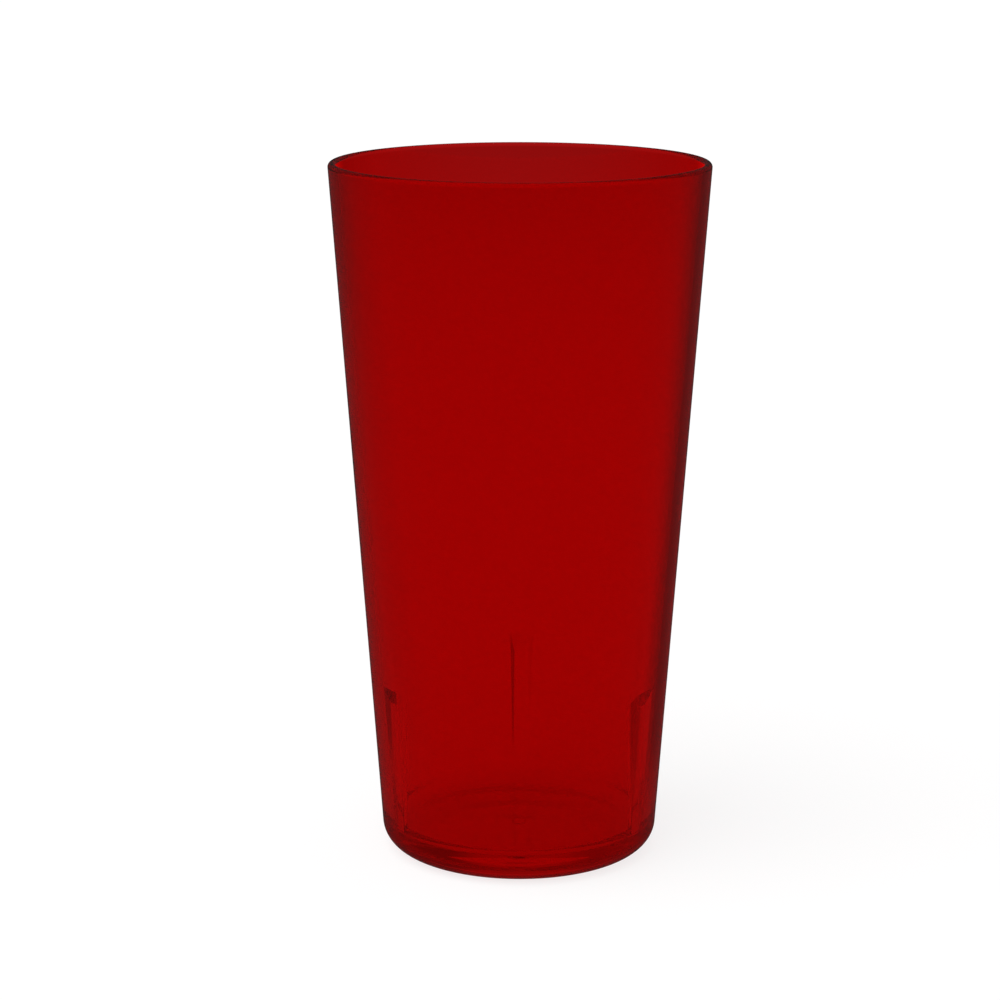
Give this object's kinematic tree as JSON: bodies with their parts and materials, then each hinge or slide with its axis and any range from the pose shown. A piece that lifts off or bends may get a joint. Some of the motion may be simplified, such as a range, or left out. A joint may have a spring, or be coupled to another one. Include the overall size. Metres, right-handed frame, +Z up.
{
  "type": "tumbler",
  "caption": "Tall tapered tumbler in clear red plastic, open at the top, with a full round rim, a rounded heel, a ring foot and ledged ribs inside for stacking.",
  "frame": {"origin": "middle of the flat ring that the tumbler stands on", "axes": "+Z up along the tumbler's axis to the open rim, +Y through the middle of one stacking rib, -Y towards the camera"},
  "size_m": [0.0856, 0.0856, 0.159],
  "materials": {
    "clear_red_plastic": "clear, tinted in the mass, polished on both faces"
  },
  "bodies": {
    "root": {"tumbler": "clear_red_plastic"}
  },
  "joints": []
}
